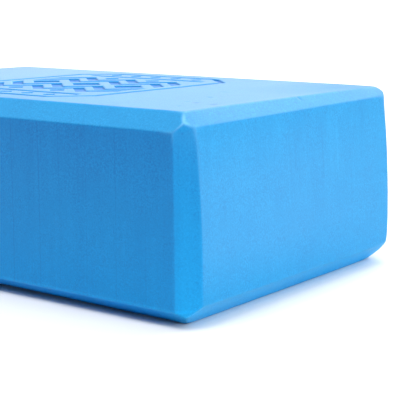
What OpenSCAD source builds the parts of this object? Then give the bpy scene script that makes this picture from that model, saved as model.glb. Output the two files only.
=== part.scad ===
// Foam block: one solid piece of closed-cell foam, lying on its largest face.
// Every edge is trimmed flat, the two ends lean in a little towards the top, and
// a shallow band pattern is pressed into the top.
// Origin: centre of the underside. +X along the length, +Y across the width,
// +Z up through the thickness. Units are millimetres.

/* [Block] */
// Overall length, along X
block_l = 228.6; // [180:0.1:300]
// Overall width, along Y
block_w = 152.4; // [140:0.1:220]
// Overall thickness, along Z
block_h = 76.2; // [50:0.1:120]
// How far each end leans in from its foot to its top
end_lean = 3.6; // [0:0.1:8]

/* [Edge trims] */
// Leg of the trim along each long top edge
long_top = 6.5; // [1:0.1:12]
// Leg of the trim along each long bottom edge
long_base = 7.2; // [1:0.1:12]
// Leg of the trim along each end's top edge
end_top = 4.7; // [1:0.1:12]
// Leg of the trim along each end's bottom edge
end_base = 8.1; // [1:0.1:12]

/* [Upright corner trims] */
// How far the trim runs along the long side, at mid-height
upright_side = 5.6; // [1:0.1:12]
// How far the trim runs across the end, at mid-height
upright_end = 7.9; // [1:0.1:12]
// How far the trim leans in at the top, in degrees
upright_lean = 1.3; // [0:0.1:5]

/* [Pressed pattern] */
// Whether the pattern is pressed into the top
pattern = true;
// Depth of the pattern below the top
pattern_depth = 0.8; // [0.2:0.1:3]
// Length of the pattern's frame, along X
pattern_l = 88; // [84:1:120]
// Width of the pattern's frame, along Y
pattern_w = 116; // [112:1:118]
// Width of the frame's line
frame_line = 3; // [1:0.1:3.5]
// Cut across each corner of the frame
frame_cut = 14; // [4:1:16]
// Length of one wave of the zigzag bands
zig_pitch = 24; // [20:0.5:25]
// Height of one wave of the zigzag bands
zig_rise = 12; // [6:0.5:13]
// Width of the zigzag's line, measured across the block
zig_line = 6.5; // [2:0.1:8]

/* [Hidden] */
foam_blue = [0.18, 0.58, 0.88];
waves = 3;              // waves in one zigzag band
band_gap = 12;          // from one zigzag band to the next
band_start = 9.5;       // from the centre line to the first band
lozenge = 8;            // half size of the lozenges on the centre line
small_lozenge = 4;      // half size of the lozenges beside the outer band
bar_y = 41.5;           // centre of the straight bar
bar_l = 66;
bar_line = 3;
row_y = 49;             // centre line of the row of tiny lozenges
row_pitch = 12;
tiny_lozenge = 3;       // half size of the lozenges in that row
end_mid = block_l/2 - end_lean/2;   // where the end face is at mid-height

// Outline a wide and b high, from 0 up, with its four corners cut at 45 degrees.
// The two sides lean in by lean between the lower cuts and the upper ones.
function trimmed(a, b, top, base, lean) = [
    [-a/2 + base, 0], [a/2 - base, 0], [a/2, base], [a/2 - lean, b - top],
    [a/2 - lean - top, b], [-a/2 + lean + top, b], [-a/2 + lean, b - top], [-a/2, base]
];

// Closed outline of a zigzag band, n waves long and centred on X = 0.
function zigzag(n, pitch, rise, line) = concat(
    [for (i = [0:2*n]) [(i - n)*pitch/2, (i % 2)*rise]],
    [for (i = [2*n:-1:0]) [(i - n)*pitch/2, (i % 2)*rise - line]]
);

// Lozenge with its corners on the axes.
function lozenge_points(a, b) = [[a, 0], [0, b], [-a, 0], [0, -b]];

// Cross-section through the width, the long edges trimmed.
module cross_prism() {
    rotate([90, 0, 90])
        linear_extrude(height = block_l + 2, center = true)
            polygon(trimmed(block_w, block_h, long_top, long_base, 0));
}

// Section through the length: the ends lean in, their edges trimmed.
module length_prism() {
    rotate([90, 0, 0])
        linear_extrude(height = block_w + 2, center = true)
            polygon(trimmed(block_l, block_h, end_top, end_base, end_lean));
}

// What is cut off the upright corner at +X -Y. Its inner face crosses the long
// side and the end where the two upright dimensions say, at mid-height.
module corner_cut() {
    translate([end_mid - upright_side, -block_w/2, block_h/2])
        rotate([0, -upright_lean, -atan2(upright_side, upright_end)])
            translate([0, -60, -block_h]) cube([60, 120, 2*block_h]);
}

// Eight-sided frame around the pattern.
module frame_outline() {
    difference() {
        translate([0, -pattern_w/2])
            polygon(trimmed(pattern_l, pattern_w, frame_cut, frame_cut, 0));
        translate([0, -pattern_w/2 + frame_line])
            polygon(trimmed(pattern_l - 2*frame_line, pattern_w - 2*frame_line,
                frame_cut - 0.6*frame_line, frame_cut - 0.6*frame_line, 0));
    }
}

// The bands on one side of the centre line.
module half_bands() {
    for (k = [0:1])
        translate([0, band_start + k*band_gap]) polygon(zigzag(waves, zig_pitch, zig_rise, zig_line));
    for (i = [-1, 1])
        translate([i*zig_pitch/2, 31.5]) polygon(lozenge_points(small_lozenge, small_lozenge));
    translate([0, bar_y]) square([bar_l, bar_line], center = true);
    for (i = [-2:2])
        translate([i*row_pitch, row_y]) polygon(lozenge_points(tiny_lozenge, tiny_lozenge));
}

// The whole pattern, as seen from above.
module pattern_outline() {
    frame_outline();
    for (i = [-1:1])
        translate([i*zig_pitch, 0]) polygon(lozenge_points(lozenge, lozenge));
    half_bands();
    mirror([0, 1]) half_bands();
}

// The block: two crossing prisms keep what they have in common, less the four
// upright corners and the pattern.
module foam_block() {
    color(foam_blue)
    difference() {
        intersection() {
            cross_prism();
            length_prism();
        }
        for (i = [0, 1], j = [0, 1])
            mirror([i, 0, 0]) mirror([0, j, 0]) corner_cut();
        if (pattern)
            translate([0, 0, block_h - pattern_depth])
                linear_extrude(height = pattern_depth + 1) pattern_outline();
    }
}

foam_block();
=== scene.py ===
"""Foam block: the looks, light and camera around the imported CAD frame.

One solid block of closed-cell foam with every edge trimmed flat and a band
pattern pressed into its top. Lengths in the shape code are millimetres, in the
CAD frame: +X along the length, +Y across the width, +Z up, origin under the
middle of the block. The mesh is made in metres.
"""
import math

import bpy
import numpy as np
from mathutils import Matrix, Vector
from mathutils.geometry import delaunay_2d_cdt


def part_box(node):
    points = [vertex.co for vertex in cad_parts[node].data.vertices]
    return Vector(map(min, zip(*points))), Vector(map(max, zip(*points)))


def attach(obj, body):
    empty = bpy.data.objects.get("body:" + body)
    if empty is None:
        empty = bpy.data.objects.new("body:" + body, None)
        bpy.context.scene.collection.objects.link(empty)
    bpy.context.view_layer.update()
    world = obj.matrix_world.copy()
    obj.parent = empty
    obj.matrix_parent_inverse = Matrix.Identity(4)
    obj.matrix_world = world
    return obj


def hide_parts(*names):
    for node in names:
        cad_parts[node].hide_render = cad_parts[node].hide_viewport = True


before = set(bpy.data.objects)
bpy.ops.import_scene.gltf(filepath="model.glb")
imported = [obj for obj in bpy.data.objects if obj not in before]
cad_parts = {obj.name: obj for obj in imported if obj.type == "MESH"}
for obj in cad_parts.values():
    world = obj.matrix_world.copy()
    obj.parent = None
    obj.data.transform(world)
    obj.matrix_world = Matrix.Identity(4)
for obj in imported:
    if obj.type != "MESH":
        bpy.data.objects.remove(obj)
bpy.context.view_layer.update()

MM = 0.001
box_lo, box_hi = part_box("foam_block")
HX = (box_hi.x - box_lo.x) / 2 / MM
HY = (box_hi.y - box_lo.y) / 2 / MM
H = box_hi.z / MM


# ---------------------------------------------------------------- the shape

def bow(z, lean, curve):
    """How far a face stands back from the block's box at height z: 0 where it is
    proudest. lean tips the face over its height and curve bends it."""
    s = (np.asarray(z, float) - H / 2) / (H / 2)
    t = np.linspace(-0.8, 0.85, 34)
    return lean * s + curve * (s * s - 0.33) - np.max(lean * t + curve * (t * t - 0.33))


def ramp(u, a, b):
    """0 up to a, 1 from b on, with an even change between."""
    t = np.clip((u - a) / (b - a), 0, 1)
    return t * t * (3 - 2 * t)


def waves(u, v, seed, wavelength, size):
    """A smooth, gentle undulation over a face, the same on each run."""
    rng = np.random.default_rng(seed)
    out = np.zeros(np.broadcast(u, v).shape)
    for _ in range(5):
        turn = rng.uniform(0, 2 * math.pi)
        k = 2 * math.pi / (wavelength * rng.uniform(0.7, 1.6))
        out += np.sin(k * (u * math.cos(turn) + v * math.sin(turn)) + rng.uniform(0, 6.28))
    return out * size / 5


# Each face: lean and curve of its bow.
ENDS = {1: (-2.01, -1.47), -1: (-1.85, -1.2)}
SIDES = {-1: (0.29, 0.40), 1: (0.12, 0.45)}
# Each end's trims: in from the box over the top, down the end (and how that
# changes across the width), in under the base, up the end.
END_TRIMS = {1: (8.24, 4.71, -0.88, 8.25, 8.09), -1: (7.9, 4.6, 0.3, 8.0, 7.8)}
# Each long side's trims: in over the top, down, in under the base, up.
SIDE_TRIMS = {-1: (6.09, 6.97, 8.95, 6.31), 1: (6.09, 6.7, 7.7, 6.7)}
# Each upright trim: along the side (and how that changes with height), across the end.
UPRIGHTS = {(1, -1): (7.41, 0.34, 7.91), (1, 1): (7.6, 0.3, 7.91),
            (-1, -1): (7.2, 0.3, 7.7), (-1, 1): (7.5, 0.2, 7.6)}

# Small dents: centre, radius along x, y and z, depth.
DENTS = [
    ((106.6, 4.6, 75.7), (0.7, 0.8, 0.7), 0.20), ((107.3, 5.1, 75.0), (0.6, 0.6, 0.6), 0.14),
    ((81.4, -19.5, 76.2), (1.4, 0.7, 1.5), 0.22), ((91.4, -42.0, 76.2), (0.8, 1.3, 1.5), 0.20),
    ((100.7, -43.9, 76.2), (0.9, 2.2, 1.5), 0.18), ((94.1, -56.1, 76.2), (0.8, 1.0, 1.5), 0.14),
    ((86.1, -40.6, 76.2), (0.8, 1.4, 1.5), 0.12), ((72.6, 3.0, 76.2), (2.2, 0.7, 1.5), 0.12),
]


def faces(p):
    """Each face's and trim's signed distance, in rows: below 0 on the block's side."""
    x, y, z = p[:, 0], p[:, 1], p[:, 2]
    s = (z - H / 2) / (H / 2)
    parts = [z - H + 0.03 - waves(x, y, 11, 90, 0.04), -z]
    for sx, (lean, curve) in ENDS.items():
        u = sx * x
        parts.append(u - HX - bow(z, lean, curve) + 0.05 + waves(y, z, 20 + sx, 60, 0.06))
        over, down, change, under, up = END_TRIMS[sx]
        down = down + change * y / HY + waves(y, 0 * y, 30 + sx, 55, 0.07)
        if sx == 1:
            over = over - 1.05 * ramp(-y, 40, 73)
        reach = over + bow(H - down, lean, curve)
        n = np.hypot(down, reach)
        parts.append((down * (u - HX + over) + reach * (z - H)) / n)
        up = up + waves(y, 0 * y, 40 + sx, 60, 0.10)
        reach = under + bow(up, lean, curve)
        n = np.hypot(up, reach)
        parts.append((up * (u - HX + under) - reach * z) / n)
    for sy, (lean, curve) in SIDES.items():
        v = sy * y
        parts.append(v - HY - bow(z, lean, curve) + 0.05 + waves(x, z, 50 + sy, 70, 0.06))
        over, down, under, up = SIDE_TRIMS[sy]
        down = down + waves(x, 0 * x, 60 + sy, 70, 0.07)
        reach = over + bow(H - down, lean, curve)
        n = np.hypot(down, reach)
        parts.append((down * (v - HY + over) + reach * (z - H)) / n)
        up = up + waves(x, 0 * x, 70 + sy, 70, 0.10)
        reach = under + bow(up, lean, curve)
        n = np.hypot(up, reach)
        parts.append((up * (v - HY + under) - reach * z) / n)
    for (sx, sy), (side, change, end) in UPRIGHTS.items():
        side = side + change * s
        if (sx, sy) == (1, -1):
            side = side - 1.5 * ramp(z, 69.2, 73.2)
            end = end - 2.0 * ramp(z, 69.5, 74)
        across = end + bow(z, *SIDES[sy])
        along = side + bow(z, *ENDS[sx])
        n = np.hypot(across, along)
        parts.append((across * (sx * x - HX + side)
                      + along * (sy * y - HY - bow(z, *SIDES[sy]))) / n)
    return np.stack(parts)


def shape(p):
    """Below 0 inside the block, 0 on its surface, above 0 outside it."""
    x, y, z = p[:, 0], p[:, 1], p[:, 2]
    g = faces(p)
    # The edges are a little soft, and softer at the far corners and along the near base.
    far = np.exp(-(((x - 109) / 12) ** 2 + ((y - 71) / 12) ** 2 + ((z - 72) / 12) ** 2))
    near = np.exp(-(((x - 108) / 4) ** 2 + ((y + 72) / 4) ** 2 + ((z - 74.5) / 2.5) ** 2))
    low_edge = np.exp(-((y + 68) / 4.5) ** 2 - (z / 3) ** 2) * (0.6 * ramp(106 - x, 0, 8) + 0.9 * ramp(100 - x, 0, 95))
    far_low = np.exp(-(((x - 109) / 9) ** 2 + ((y - 73) / 9) ** 2 + ((z - 3) / 8) ** 2))
    near_low = np.exp(-(((x - 108) / 6) ** 2 + ((y + 70) / 6) ** 2 + ((z - 1.5) / 4) ** 2))
    k = 0.09 + 0.42 * far + 1.4 * far_low + 0.40 * near + 0.55 * near_low + low_edge
    top = g.max(0)
    f = top + k * np.log(np.exp((g - top) / k).sum(0))
    for c, r, depth in DENTS:
        f = f + depth * np.exp(-(((x - c[0]) / r[0]) ** 2 + ((y - c[1]) / r[1]) ** 2
                                 + ((z - c[2]) / r[2]) ** 2))
    return f


def wear_and_highlight(p):
    """How pale the foam is along its edges, partly edge wear and partly a painted highlight on the rounded ridges: most
    at the near upper corner.
    """
    x, y, z = p[:, 0], p[:, 1], p[:, 2]
    g = np.sort(faces(p), axis=0)
    gap = g[-1] - g[-2]
    strip = np.exp(-((x - 108.6) / 2.8) ** 2 - ((y + 71.7) / 2.8) ** 2 - ((z - 74.6) / 2.4) ** 2)
    corner = np.exp(-((x - 109) / 6) ** 2 - ((y + 73) / 5) ** 2 - ((z - 72) / 4.5) ** 2)
    return np.exp(-(gap / (0.42 + 0.40 * strip)) ** 2) * (0.03 + 0.62 * corner + 0.45 * strip)


CORE = 12.0  # the rays that meet the surface start this far inside the box


def project(out):
    """The points of the block's surface on the rays through the points out of its box."""
    half = np.array([HX, HY, H / 2]) - CORE
    mid = np.array([0, 0, H / 2])
    start = np.clip(out - mid, -half, half) + mid
    ray = out - start
    low, high = np.zeros(len(out)), np.full(len(out), 1.3)
    for _ in range(42):
        t = (low + high) / 2
        inside = shape(start + ray * t[:, None]) < 0
        low = np.where(inside, t, low)
        high = np.where(inside, high, t)
    return start + ray * ((low + high) / 2)[:, None]


# -------------------------------------------------------- the pressed pattern
# The same outlines as the CAD part's.
DEPTH = 0.8


def zigzag(n, pitch, rise, line, y0):
    up = [((i - n) * pitch / 2, (i % 2) * rise + y0) for i in range(2 * n + 1)]
    return up + [(x, y - line) for x, y in reversed(up)]


def octagon(a, b, cut):
    return [(-a + cut, -b), (a - cut, -b), (a, -b + cut), (a, b - cut),
            (a - cut, b), (-a + cut, b), (-a, b - cut), (-a, -b + cut)]


def lozenge(x, y, r):
    return [(x + r, y), (x, y + r), (x - r, y), (x, y - r)]


def pattern():
    """(outline, side) pairs: side is 1 where the pressed part is inside the outline."""
    found = [(octagon(44, 58, 14), 1), (octagon(41, 55, 14 - 1.8), -1)]
    found += [(lozenge(i * 24, 0, 8), 1) for i in (-1, 0, 1)]
    half = [zigzag(3, 24, 12, 6.5, 9.5 + 12 * k) for k in (0, 1)]
    half += [lozenge(i * 12, 31.5, 4) for i in (-1, 1)]
    half += [[(-33, 40), (33, 40), (33, 43), (-33, 43)]]
    half += [lozenge(i * 12, 49, 3) for i in range(-2, 3)]
    for points in half:
        found.append((points, 1))
        found.append(([(x, -y) for x, y in points], 1))
    return found


def turned(points):
    """The outline counter-clockwise."""
    p = np.array(points, float)
    area = np.sum(p[:, 0] * np.roll(p[:, 1], -1) - np.roll(p[:, 0], -1) * p[:, 1])
    return p if area > 0 else p[::-1]


def offset(p, d):
    """A counter-clockwise outline grown by d, its corners kept sharp."""
    a, b, c = np.roll(p, 1, 0), p, np.roll(p, -1, 0)
    e1, e2 = b - a, c - b
    e1 /= np.linalg.norm(e1, axis=1)[:, None]
    e2 /= np.linalg.norm(e2, axis=1)[:, None]
    n1, n2 = np.stack([e1[:, 1], -e1[:, 0]], 1), np.stack([e2[:, 1], -e2[:, 0]], 1)
    m = n1 + n2
    return p + d * m / (0.5 * (m * m).sum(1))[:, None]


def divided(p, step):
    """The outline with its edges cut into lengths of about step, alike on every ring."""
    q = np.roll(p, -1, 0)
    out = []
    for (a, b), n in zip(zip(p, q), step):
        for i in range(n):
            out.append(a + (b - a) * i / n)
    return np.array(out)


RINGS = [(0.62, 0.0), (0.34, 0.03), (0.15, 0.14), (0.0, 0.40), (-0.12, 0.66), (-0.30, 0.78), (-0.55, 0.80)]


# ------------------------------------------------------------------ the mesh

def border(n_face=4):
    """Places across the edge zone, from the core's side (0) to the box's edge (1)."""
    s = [0.0, 0.10, 0.20, 0.27]
    while s[-1] < 0.70:
        s.append(s[-1] + 0.036)
    while s[-1] < 0.985:
        s.append(s[-1] + 0.055)
    s = np.array(s)
    s = np.where(s > 0.27, 0.27 + (s - 0.27) * (1 - 0.27) / (s[-1] - 0.27), s)
    s[-1] = 1.0
    return s


def lines(half, step, extra=()):
    inner = half - CORE
    n = int(round(2 * inner / step))
    core = list(np.linspace(-inner, inner, n + 1)[1:-1])
    for lo_, hi_, fine in extra:
        core = [c for c in core if not lo_ - fine < c < hi_ + fine]
        core += list(np.linspace(lo_, hi_, int(round((hi_ - lo_) / fine)) + 1))
    s = inner + CORE * border()
    return np.concatenate([-s[::-1], np.sort(core), s])


def build():
    xs = lines(HX, 2.5)
    ys = lines(HY, 2.5, [(0.0, 7.0, 0.5)])
    zs = lines(H / 2, 2.4) + H / 2
    inx, iny = HX - CORE + 1e-6, HY - CORE + 1e-6
    points, index, quads = [], {}, []

    def vertex(x, y, z):
        key = (round(x * 1e4), round(y * 1e4), round(z * 1e4))
        if key not in index:
            index[key] = len(points)
            points.append((x, y, z))
        return index[key]

    def sheet(us, vs, place, flip, skip=None):
        grid = [[vertex(*place(u, v)) for v in vs] for u in us]
        for i in range(len(us) - 1):
            for j in range(len(vs) - 1):
                if skip and skip(us[i], us[i + 1], vs[j], vs[j + 1]):
                    continue
                q = (grid[i][j], grid[i + 1][j], grid[i + 1][j + 1], grid[i][j + 1])
                quads.append(q[::-1] if flip else q)

    core = lambda x0, x1, y0, y1: abs(x0) < inx and abs(x1) < inx and abs(y0) < iny and abs(y1) < iny
    # The top's inner nodes are left out: the pattern's own net fills that part.
    sheet(xs, ys, lambda x, y: (x, y, 0.0), True)
    top_nodes = {}
    cx, cy = xs[np.abs(xs) < inx], ys[np.abs(ys) < iny]
    for sx in (-1, 1):
        sheet(ys, zs, lambda y, z: (sx * HX, y, z), sx < 0)
        sheet(xs, zs, lambda x, z: (x, sx * HY, z), sx > 0)
    # top: only the cells outside the core rectangle
    grid = {}
    for i in range(len(xs) - 1):
        for j in range(len(ys) - 1):
            if core(xs[i], xs[i + 1], ys[j], ys[j + 1]):
                continue
            q = [vertex(xs[a], ys[b], H) for a, b in ((i, j), (i + 1, j), (i + 1, j + 1), (i, j + 1))]
            quads.append(tuple(q))
    n_box = len(points)

    # the top's net: outline rings, a plain grid between them, and the core's border
    flat, depth, edges, fixed = [], [], [], []
    loop = ([(x, cy[0]) for x in cx] + [(cx[-1], y) for y in cy[1:]]
            + [(x, cy[-1]) for x in cx[::-1][1:]] + [(cx[0], y) for y in cy[::-1][1:-1]])
    for x, y in loop:
        fixed.append(vertex(x, y, H))
        flat.append((x, y))
        depth.append(0.0)
    assert len(points) == n_box
    edges += [(i, (i + 1) % len(loop)) for i in range(len(loop))]
    walls, sides = [], []
    for outline, side in pattern():
        p = turned(outline)
        length = np.linalg.norm(np.roll(p, -1, 0) - p, axis=1)
        step = [max(1, int(round(d / 1.6))) for d in length]
        for grow, low in RINGS:
            ring = divided(offset(p, grow * side), step)
            base = len(flat)
            flat += [tuple(q) for q in ring]
            depth += [low] * len(ring)
            edges += [(base + i, base + (i + 1) % len(ring)) for i in range(len(ring))]
        walls.append(p)
        sides.append(side)

    gx, gy = np.meshgrid(np.arange(cx[0] + 1.6, cx[-1] - 1.0, 2.3), np.arange(cy[0] + 1.6, cy[-1] - 1.0, 2.3))
    gx = gx + 1.15 * (np.arange(gx.shape[0]) % 2)[:, None]
    cand = np.stack([gx.ravel(), gy.ravel()], 1)
    cand = cand[cand[:, 0] < cx[-1] - 1.0]
    fine = []
    for c, r, _ in DENTS:
        if c[2] > H - 0.5 and abs(c[0]) < inx - 1 and abs(c[1]) < iny - 1:
            a, b = np.meshgrid(np.arange(-2.4, 2.5, 0.45), np.arange(-2.4, 2.5, 0.45))
            fine.append(np.stack([c[0] + a.ravel(), c[1] + b.ravel()], 1))
            cand = cand[(np.abs(cand[:, 0] - c[0]) > 3.0) | (np.abs(cand[:, 1] - c[1]) > 3.0)]
    if fine:
        fine = np.concatenate(fine)
        fine = fine[(np.abs(fine[:, 0]) < inx - 0.5) & (np.abs(fine[:, 1]) < iny - 0.5)]
        fine = fine[np.sort(np.unique(np.round(fine / 0.3), axis=0, return_index=True)[1])]
        cand = np.concatenate([cand, fine])
    near = np.full(len(cand), 1e9)
    within = np.zeros(len(cand), bool)
    for p in walls:
        a, b = p, np.roll(p, -1, 0)
        inside = np.zeros(len(cand), bool)
        for (ax, ay), (bx, by) in zip(a, b):
            d = np.array([bx - ax, by - ay])
            t = np.clip(((cand - (ax, ay)) @ d) / (d @ d), 0, 1)
            near = np.minimum(near, np.linalg.norm(cand - (ax, ay) - t[:, None] * d, axis=1))
            crosses = ((ay > cand[:, 1]) != (by > cand[:, 1]))
            if ay != by:
                crosses &= cand[:, 0] < (bx - ax) * (cand[:, 1] - ay) / (by - ay) + ax
                inside ^= crosses
        within ^= inside  # the frame's inner outline takes its middle out again
    keep = near > 1.35
    flat += [tuple(q) for q in cand[keep]]
    depth += [DEPTH if w else 0.0 for w in within[keep]]

    made = delaunay_2d_cdt([q for q in flat], edges, [], 1, 1e-5, True)
    co, _, tris, origin = made[0], made[1], made[2], made[3]
    assert len(co) == len(flat), (len(co), len(flat))
    number = []
    for k, src in enumerate(origin):
        s0 = src[0]
        if s0 < len(fixed):
            number.append(fixed[s0])
        else:
            number.append(len(points))
            points.append((flat[s0][0], flat[s0][1], H))
    level = np.zeros(len(points))
    for k, src in enumerate(origin):
        level[number[k]] = depth[src[0]]
    for t in tris:
        t = [number[i] for i in t]
        (ax, ay), (bx, by), (qx, qy) = (points[i][:2] for i in t)
        if (bx - ax) * (qy - ay) - (by - ay) * (qx - ax) < 0:
            t = t[::-1]
        quads.append(tuple(t))

    surface = project(np.array(points, float))
    edge_wear_and_highlight = wear_and_highlight(surface)
    surface[:, 2] -= level
    surface[:, 2] = np.maximum(surface[:, 2], 0.0)
    mesh = bpy.data.meshes.new("foam_block_body")
    mesh.from_pydata((surface * MM).tolist(), [], quads)
    mesh.validate()
    mesh.update()
    mesh.polygons.foreach_set("use_smooth", [True] * len(mesh.polygons))
    pressed = mesh.attributes.new("pressed", "FLOAT", "POINT")
    pressed.data.foreach_set("value", (level / DEPTH).astype(np.float32))
    wear_and_highlight_layer = mesh.attributes.new("edge_wear_and_highlight", "FLOAT", "POINT")
    wear_and_highlight_layer.data.foreach_set("value", edge_wear_and_highlight.astype(np.float32))
    block = bpy.data.objects.new("foam_block_body", mesh)
    bpy.context.scene.collection.objects.link(block)
    return block


# -------------------------------------------------------------- the material

class Nodes:
    """A short way to write a node tree."""

    def __init__(self, tree):
        self.tree = tree
        tree.nodes.clear()

    def add(self, kind, inputs=(), **settings):
        node = self.tree.nodes.new(kind)
        for name, value in settings.items():
            setattr(node, name, value)
        for name, value in dict(inputs).items():
            self.put(node, name, value)
        return node

    def put(self, node, name, value):
        socket = node.inputs[name]
        if isinstance(value, bpy.types.NodeSocket):
            self.tree.links.new(value, socket)
        else:
            socket.default_value = value

    def math(self, operation, a, b=0.0, clamp=False):
        n = self.add("ShaderNodeMath", {0: a, 1: b}, operation=operation, use_clamp=clamp)
        return n.outputs[0]

    def span(self, value, a, b, c=0.0, d=1.0, smooth=False):
        n = self.add("ShaderNodeMapRange", {"Value": value, "From Min": a, "From Max": b, "To Min": c, "To Max": d},
                     interpolation_type="SMOOTHSTEP" if smooth else "LINEAR", clamp=True)
        return n.outputs["Result"]

    def noise(self, vector, scale, detail=2.0, rough=0.5, **more):
        n = self.add("ShaderNodeTexNoise", {"Vector": vector, "Scale": scale, "Detail": detail, "Roughness": rough},
                     noise_dimensions="3D", **more)
        return n.outputs["Fac"]

    def stretch(self, vector, scale, shift=(0, 0, 0)):
        n = self.add("ShaderNodeMapping", {"Vector": vector, "Scale": scale, "Location": shift})
        return n.outputs["Vector"]

    def mark(self, place, start, end, width):
        """1 on the straight line from start to end, 0 past width from it."""
        start, end = np.array(start, float), np.array(end, float)
        along = end - start
        rel = self.add("ShaderNodeVectorMath", {0: place, 1: tuple(start)}, operation="SUBTRACT").outputs[0]
        dot = self.add("ShaderNodeVectorMath", {0: rel, 1: tuple(along / (along @ along))},
                       operation="DOT_PRODUCT").outputs["Value"]
        foot = self.add("ShaderNodeVectorMath", {0: tuple(along)}, operation="SCALE")
        self.put(foot, "Scale", self.span(dot, 0, 1))
        off = self.add("ShaderNodeVectorMath", {0: rel, 1: foot.outputs[0]}, operation="SUBTRACT").outputs[0]
        flat = self.add("ShaderNodeVectorMath", {0: off, 1: (0.25, 1, 1)}, operation="MULTIPLY").outputs[0]
        gap = self.add("ShaderNodeVectorMath", {0: flat}, operation="LENGTH").outputs["Value"]
        return self.span(gap, width * 0.4, width, 1, 0, True)

    def blend(self, fac, a, b, mode="MIX"):
        n = self.add("ShaderNodeMix", data_type="RGBA", blend_type=mode)
        self.put(n, 0, fac)
        self.put(n, 6, a)
        self.put(n, 7, b)
        return n.outputs[2]


FOAM = (0.001, 0.245, 0.555, 1)
FOAM_LIGHT = (0.008, 0.290, 0.622, 1)
FOAM_DARK = (0.001, 0.199, 0.492, 1)
PRESSED = (0.022, 0.155, 0.455, 1)


# pale of worn edges, partly a painted highlight on the rounded ridges
PALE_WEAR_AND_HIGHLIGHT = (0.15, 0.460, 0.79, 1)

# Where saw cuts meet the long faces: mm along X, how dark.
SAW_CUTS = ((94.4, 0.3), (80.8, 0.6), (66.7, 0.4), (53.5, 0.4), (43.3, 0.9), (29.4, 0.9), (15.9, 0.4), (2.0, 0.6),
            (-12.1, 0.4), (-25.4, 0.9), (-39.3, 0.5), (-53.2, 0.4), (-66.6, 0.8), (-80.9, 0.4), (-94.5, 0.6))

# Scratches and nicks: from, to (mm), half width, how much lighter.
SCRATCHES = [((113.9, 16.4, 21.9), (113.9, 25.0, 12.5), 0.22, 0.7),
             ((113.9, 38.7, 37.0), (113.9, 65.2, 36.2), 0.30, 0.35),
             ((106.3, 4.2, 75.9), (107.4, 5.4, 74.8), 0.55, -1.1), ((108.3, 0.0, 74.0), (108.3, 0.9, 74.0), 0.50, -0.7),
             ((109.2, 8.5, 73.0), (109.3, 9.4, 72.9), 0.55, -0.6)]


# Where dust sits in the top's nicks: from, to (mm), half width.
DUSTY = [((91.2, -41.0, 76.1), (91.6, -43.0, 76.1), 0.8), ((99.8, -41.8, 76.1), (101.5, -46.0, 76.1), 0.6)]

# Saw streaks on the +X end: Y, from Z, to Z (mm), half width, how much lighter.
STREAKS = [(-43.0, 52, 70, 0.7, 0.30), (-31.0, 48, 70, 0.7, -0.30), (-16.4, 46, 70, 0.8, -0.38),
           (-11.3, 36, 69, 0.7, 0.36), (-6.3, 48, 72, 0.8, -0.42), (1.2, 42, 71, 0.9, 0.45),
           (5.3, 54, 70, 0.8, 0.30), (14.3, 44, 72, 0.9, -0.62), (20.1, 48, 70, 0.8, 0.36),
           (26.0, 46, 72, 1.0, 0.48), (30.0, 50, 72, 0.8, -0.42), (36.5, 20, 44, 0.7, -0.30)]


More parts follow.
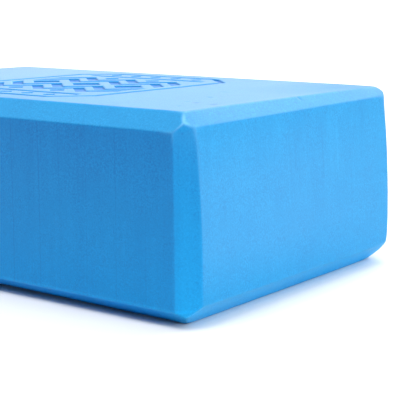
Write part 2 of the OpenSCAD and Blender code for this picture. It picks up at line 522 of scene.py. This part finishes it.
def foam_material():
    mat = bpy.data.materials.new("foam")
    mat.use_nodes = True
    n = Nodes(mat.node_tree)
    out = n.add("ShaderNodeOutputMaterial")
    coords = n.add("ShaderNodeTexCoord").outputs["Object"]
    mm = n.stretch(coords, (1000, 1000, 1000))
    geometry = n.add("ShaderNodeNewGeometry")
    normal = n.add("ShaderNodeSeparateXYZ", {0: geometry.outputs["Normal"]})
    upright = n.span(n.math("ABSOLUTE", normal.outputs["Z"]), 0.15, 0.75, 1, 0, True)
    pressed = n.add("ShaderNodeAttribute", attribute_name="pressed").outputs["Fac"]

    edge_wear_and_highlight = n.add("ShaderNodeAttribute", attribute_name="edge_wear_and_highlight").outputs["Fac"]
    place = n.add("ShaderNodeSeparateXYZ", {0: mm})
    across = n.math("ABSOLUTE", normal.outputs["Y"])
    side_face = n.span(across, 0.85, 0.95)
    corner_trim = n.math("MULTIPLY", n.span(across, 0.30, 0.45), n.span(across, 0.95, 0.80))

    # closed cells: a fine grain, and cells a little lighter or darker than the rest
    grain = n.noise(mm, 2.6, 3.0, 0.65)
    clumps = n.noise(mm, 1.6, 1.0, 0.5)
    cells = n.add("ShaderNodeTexVoronoi", {"Vector": mm, "Scale": 1.9}, feature="F1")
    cell_tone = n.add("ShaderNodeSeparateColor", {0: cells.outputs["Color"]}).outputs[0]
    patchy = n.span(n.noise(mm, 0.11, 2.0, 0.5), 0.38, 0.62, 0.72, 1.28)
    # saw marks run up the upright faces
    saw = n.noise(n.stretch(mm, (0.9, 0.9, 0.012)), 1.0, 4.0, 0.7)
    streaks = n.noise(n.stretch(mm, (0.20, 0.20, 0.022), (7, 3, 0)), 1.0, 3.0, 0.6)
    cuts = None
    for x, strength in SAW_CUTS:
        gap = n.math("ABSOLUTE", n.math("SUBTRACT", place.outputs["X"], x))
        line = n.span(gap, 0.08, 0.30, strength, 0, True)
        cuts = line if cuts is None else n.math("ADD", cuts, line)
    # slow changes of tone
    mottle = n.noise(n.stretch(mm, (0.06, 0.06, 0.035)), 1.0, 3.0, 0.55)
    # sparse open pores
    pores = n.add("ShaderNodeTexVoronoi", {"Vector": mm, "Scale": 0.22}, feature="F1")
    pore_keep = n.add("ShaderNodeSeparateColor", {0: pores.outputs["Color"]}).outputs[1]
    pore = n.math("MULTIPLY", n.span(pores.outputs["Distance"], 0.06, 0.14, 1, 0, True),
                  n.span(pore_keep, 0.50, 0.60, 0, 1))

    fine = n.math("ADD", n.span(grain, 0.25, 0.75, -0.30, 0.30), n.span(clumps, 0.25, 0.75, -0.55, 0.55))
    fine = n.math("ADD", fine, n.span(cell_tone, 0, 1, -0.30, 0.30))
    slant_trim = n.math("MULTIPLY", corner_trim, n.math("SUBTRACT", 1.0, upright))
    fine = n.math("MULTIPLY", fine, n.span(n.math("MULTIPLY", corner_trim, upright), 0, 1, 1.4, 0.9))
    fine = n.math("MULTIPLY", fine, n.span(slant_trim, 0, 1, 1, 0.72))
    fine = n.math("MULTIPLY", fine, n.span(side_face, 0, 1, 1, 0.86))
    tone = n.math("MULTIPLY", fine, patchy)
    tone = n.math("ADD", tone, n.span(mottle, 0.3, 0.7, -0.16, 0.16))
    endwise = n.math("ABSOLUTE", normal.outputs["X"])
    end_face = n.span(endwise, 0.90, 0.96)
    sawn = n.math("ADD", upright, n.math("MULTIPLY", end_face, n.span(place.outputs["Z"], 20, 60, -0.3, 1.0)))
    sawn = n.math("ADD", sawn, n.math("MULTIPLY", side_face, 0.6))
    tone = n.math("ADD", tone, n.math("MULTIPLY", n.span(saw, 0.3, 0.7, -0.14, 0.14), sawn))
    tone = n.math("ADD", tone, n.math("MULTIPLY", n.span(streaks, 0.3, 0.7, -0.12, 0.12), sawn))
    tone = n.math("SUBTRACT", tone, n.math("MULTIPLY", n.math("MULTIPLY", cuts, side_face), 1.0))
    tone = n.math("SUBTRACT", tone, n.math("MULTIPLY", pore, 0.9))
    lines = SCRATCHES + [((HX - 0.4, y, a), (HX - 0.4, y, b), width, strength) for y, a, b, width, strength in STREAKS]
    for start, end, width, strength in lines:
        tone = n.math("ADD", tone, n.math("MULTIPLY", n.mark(mm, start, end, width), strength))
    light = n.span(tone, 0, 1)
    dark = n.span(n.math("MULTIPLY", tone, -1), 0, 1)
    colour = n.blend(light, FOAM, FOAM_LIGHT)
    colour = n.blend(dark, colour, FOAM_DARK)
    # painted shade and light by facet: the long sides are painted darker upwards and lighter towards the floor
    low, high = n.span(place.outputs["Z"], 38, 8), n.span(place.outputs["Z"], 38, 66)
    shade = n.blend(high, (0.40, 0.840, 0.950, 1), (0.10, 0.705, 0.855, 1))
    shade = n.blend(low, shade, (0.02, 0.985, 1.085, 1))
    colour = n.blend(n.math("MULTIPLY", across, upright), colour, shade, "MULTIPLY")
    # painted bounce light: the upright corner trims are painted lighter towards the bottom
    shade = n.blend(n.span(place.outputs["Z"], 70, 10), (1.0, 0.98, 0.99, 1), (1.0, 1.13, 1.09, 1))
    colour = n.blend(n.math("MULTIPLY", corner_trim, upright), colour, shade, "MULTIPLY")
    # painted light: the slanting trims along the long sides are painted lighter
    colour = n.blend(slant_trim, colour, (1.0, 1.09, 1.08, 1), "MULTIPLY")
    # painted bounce light: the down-facing end trims are painted lighter, most near the floor
    under = n.span(normal.outputs["Z"], -0.30, -0.60)
    shade = n.blend(n.span(place.outputs["Z"], 8, 1), (1.0, 1.16, 1.08, 1), (1.0, 1.50, 1.42, 1))
    colour = n.blend(n.math("MULTIPLY", under, n.span(endwise, 0.30, 0.60)), colour, shade, "MULTIPLY")
    # painted shade: the down-facing long trims are painted darker towards the floor contact
    shade = n.blend(n.span(place.outputs["Z"], 6.6, 1.5), (0.4, 1.03, 1.13, 1), (0.2, 0.57, 0.88, 1))
    along = n.math("MULTIPLY", n.span(across, 0.30, 0.60), n.span(n.math("ABSOLUTE", place.outputs["X"]), 109, 96))
    colour = n.blend(n.math("MULTIPLY", under, along), colour, shade, "MULTIPLY")
    # painted highlight: a pale line along the long sides' lower edge
    gap = n.math("ABSOLUTE", n.math("SUBTRACT", place.outputs["Z"], 6.5))
    painted_rim_highlight = n.math("MULTIPLY", n.span(gap, 0.25, 0.95, 1, 0, True), n.span(across, 0.45, 0.65))
    colour = n.blend(painted_rim_highlight, colour, (1.0, 1.16, 1.13, 1), "MULTIPLY")
    # painted shade: the top face is painted darker, most of all in green
    colour = n.blend(n.span(normal.outputs["Z"], 0.85, 0.97), colour, (1.0, 0.79, 0.90, 1), "MULTIPLY")
    # painted highlight: a paler patch over the end face's middle heights, strongest towards the near side
    painted_end_highlight = n.math("MULTIPLY", end_face,
                   n.math("MULTIPLY", n.span(place.outputs["Z"], 8, 26), n.span(place.outputs["Z"], 80, 50)))
    painted_end_highlight = n.math("MULTIPLY", painted_end_highlight, n.span(place.outputs["Y"], -10, 70, 0.13, 0.03))
    colour = n.blend(painted_end_highlight, colour, (0.16, 0.33, 0.60, 1))
    # the trims along the end: painted sheen on the end-top trim towards the near corner, painted shade on it towards
    # the far side, and a painted grey floor reflection on the down-facing end trims towards the near side
    ended = n.span(endwise, 0.30, 0.50)
    over = n.math("MULTIPLY", n.math("MULTIPLY", ended, n.span(normal.outputs["Z"], 0.30, 0.50)),
                  n.span(normal.outputs["Z"], 0.92, 0.85))
    colour = n.blend(n.math("MULTIPLY", over, n.span(place.outputs["Y"], 25, -60, 0, 0.09)), colour,
                     (0.34, 0.34, 0.60, 1))
    colour = n.blend(n.math("MULTIPLY", over, n.span(place.outputs["Y"], -30, 70)), colour, (1, 0.90, 0.98, 1),
                     "MULTIPLY")
    colour = n.blend(n.math("MULTIPLY", n.math("MULTIPLY", under, ended),
                            n.span(place.outputs["Y"], -60, 60, 0.06, 0.0)), colour, (0.36, 0.38, 0.42, 1))
    # edge wear, partly a painted highlight on the rounded ridges, most at the near upper corner
    colour = n.blend(edge_wear_and_highlight, colour, PALE_WEAR_AND_HIGHLIGHT)
    for start, end, width in DUSTY:
        colour = n.blend(n.math("MULTIPLY", n.mark(mm, start, end, width), 0.30), colour, (0.03, 0.10, 0.13, 1))
    colour = n.blend(n.span(pressed, 0.15, 0.95, 0, 0.85, True), colour, PRESSED)

    height = n.math("ADD", n.math("MULTIPLY", grain, 0.6), n.math("MULTIPLY", n.math("MULTIPLY", saw, upright), 0.5))
    height = n.math("SUBTRACT", height, n.math("MULTIPLY", pore, 0.6))
    bump = n.add("ShaderNodeBump", {"Strength": 0.35, "Distance": 0.00008, "Height": height})
    rough = n.math("ADD", n.span(grain, 0.2, 0.8, 0.40, 0.48), n.math("MULTIPLY", pressed, 0.2))
    # the top is duller towards one corner, and smoother towards the other end
    dull = n.math("MULTIPLY", n.span(place.outputs["X"], 66, 96), n.span(place.outputs["Y"], 5, 50))
    dull = n.math("SUBTRACT", n.span(dull, 0, 1, 0.020, 0.100), n.span(place.outputs["X"], 25, -60, 0, 0.056))
    dull = n.math("MULTIPLY", dull, n.span(normal.outputs["Z"], 0.85, 0.97))
    rough = n.math("ADD", rough, dull)
    shader = n.add("ShaderNodeBsdfPrincipled", {"Base Color": colour, "Roughness": rough,
                                                "Normal": bump.outputs["Normal"]})
    shader.inputs["IOR"].default_value = 1.5
    shader.inputs["Specular IOR Level"].default_value = 0.2
    n.tree.links.new(shader.outputs[0], out.inputs["Surface"])
    return mat


block = build()
block.data.materials.append(foam_material())
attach(block, "root")
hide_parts("foam_block")


# -------------------------------------------------------- floor, light, camera

def floor_material():
    mat = bpy.data.materials.new("floor")
    mat.use_nodes = True
    n = Nodes(mat.node_tree)
    out = n.add("ShaderNodeOutputMaterial")
    coords = n.add("ShaderNodeTexCoord").outputs["Object"]
    tone = n.noise(coords, 30.0, 3.0, 0.5)
    colour = n.blend(tone, (0.90, 0.90, 0.90, 1), (0.93, 0.93, 0.93, 1))
    shader = n.add("ShaderNodeBsdfPrincipled", {"Base Color": colour, "Roughness": 0.8})
    shader.inputs["Specular IOR Level"].default_value = 0.2
    n.tree.links.new(shader.outputs[0], out.inputs["Surface"])
    return mat


def disc(name, radius, sides):
    mesh = bpy.data.meshes.new(name)
    ring = [(radius * math.cos(2 * math.pi * i / sides), radius * math.sin(2 * math.pi * i / sides), 0.0)
            for i in range(sides)]
    mesh.from_pydata(ring, [], [tuple(range(sides))])
    mesh.update()
    made = bpy.data.objects.new(name, mesh)
    bpy.context.scene.collection.objects.link(made)
    return made


floor = disc("floor", 30.0, 96)
floor.data.materials.append(floor_material())


def sun(name, azimuth, elevation, strength, spread, colour=(1, 1, 1)):
    """A soft light from that side: azimuth 0 is +X and 90 is +Y, in degrees."""
    lamp = bpy.data.lights.new(name, "SUN")
    lamp.energy = strength
    lamp.angle = math.radians(spread)
    lamp.color = colour
    made = bpy.data.objects.new(name, lamp)
    a, e = math.radians(azimuth), math.radians(elevation)
    towards = np.array([math.cos(a) * math.cos(e), math.sin(a) * math.cos(e), math.sin(e)])
    side = np.cross((0, 0, 1), towards) if elevation < 89 else np.array([1.0, 0, 0])
    side /= np.linalg.norm(side)
    rows = np.stack([side, np.cross(towards, side), towards], 1)
    m = Matrix.Identity(4)
    for i in range(3):
        for j in range(3):
            m[i][j] = rows[i, j]
    made.matrix_world = m
    bpy.context.scene.collection.objects.link(made)
    return made


sun("right", 10, 11, 1.36, 22, (1.0, 0.99, 0.92))
sun("front right", 332, 44, 1.04, 40)
sun("front", 255, 66, 0.98, 16)
sun("left", 197, 45, 0.95, 40)
sun("back", 118, 47, 0.62, 40)
sun("low back", 90, 20, 0.32, 40)
sun("low back left", 122, 20, 0.36, 40)
sun("overhead", 0, 90, 0.05, 40)
lamp_data = bpy.data.lights.new("near overhead", "AREA")
lamp_data.shape = "SQUARE"
lamp_data.size = 0.15
lamp_data.energy = 0.4
lamp = bpy.data.objects.new("near overhead", lamp_data)
lamp.location = (0.05, -0.05, 0.35)
bpy.context.scene.collection.objects.link(lamp)


def make_world():
    """A white horizon, and soft windows low behind the block."""
    world = bpy.data.worlds.new("studio")
    world.use_nodes = True
    n = Nodes(world.node_tree)
    out = n.add("ShaderNodeOutputWorld")
    towards = n.add("ShaderNodeTexCoord").outputs["Generated"]
    height = n.add("ShaderNodeSeparateXYZ", {0: towards}).outputs["Z"]
    light = n.span(n.math("ABSOLUTE", height), 0.10, 0.18, 1.05, 0, True)
    for azimuth, elevation, strength in ((138, 15, 1.00), (84, 40, 3.00), (36, 15, 0.40)):
        a, e = math.radians(azimuth), math.radians(elevation)
        middle = (math.cos(a) * math.cos(e), math.sin(a) * math.cos(e), math.sin(e))
        facing = n.add("ShaderNodeVectorMath", {0: towards, 1: middle}, operation="DOT_PRODUCT").outputs["Value"]
        window = n.span(facing, 0.819, 0.946, 0, strength, True)
        light = n.math("ADD", light, n.math("MULTIPLY", window, n.math("GREATER_THAN", height, -0.02)))
    back = n.add("ShaderNodeBackground", {"Color": (1, 1, 1, 1), "Strength": light})
    n.tree.links.new(back.outputs[0], out.inputs["Surface"])
    bpy.context.scene.world = world


make_world()

# The camera of the photograph: its axes as the rows right, up and back.
azimuth, elevation, roll = math.radians(36.407), math.radians(9.960), math.radians(0.186)
right = np.array([math.cos(azimuth), math.sin(azimuth), 0])
back = np.array([math.sin(azimuth) * math.cos(elevation), -math.cos(azimuth) * math.cos(elevation), math.sin(elevation)])
up = np.cross(back, right)
right, up = (math.cos(roll) * right + math.sin(roll) * up, -math.sin(roll) * right + math.cos(roll) * up)
camera_data = bpy.data.cameras.new("camera")
camera_data.sensor_width = 36
camera_data.sensor_fit = "HORIZONTAL"
camera_data.lens = 1195.283 * 36 / 400
camera_data.clip_start, camera_data.clip_end = 0.01, 200
camera = bpy.data.objects.new("camera", camera_data)
pose = Matrix.Identity(4)
place = np.array([353.213, -394.424, 116.985]) * MM
for i in range(3):
    pose[i][0], pose[i][1], pose[i][2], pose[i][3] = right[i], up[i], back[i], place[i]
camera.matrix_world = pose
bpy.context.scene.collection.objects.link(camera)
bpy.context.scene.camera = camera
bpy.context.scene.view_settings.view_transform = "Standard"
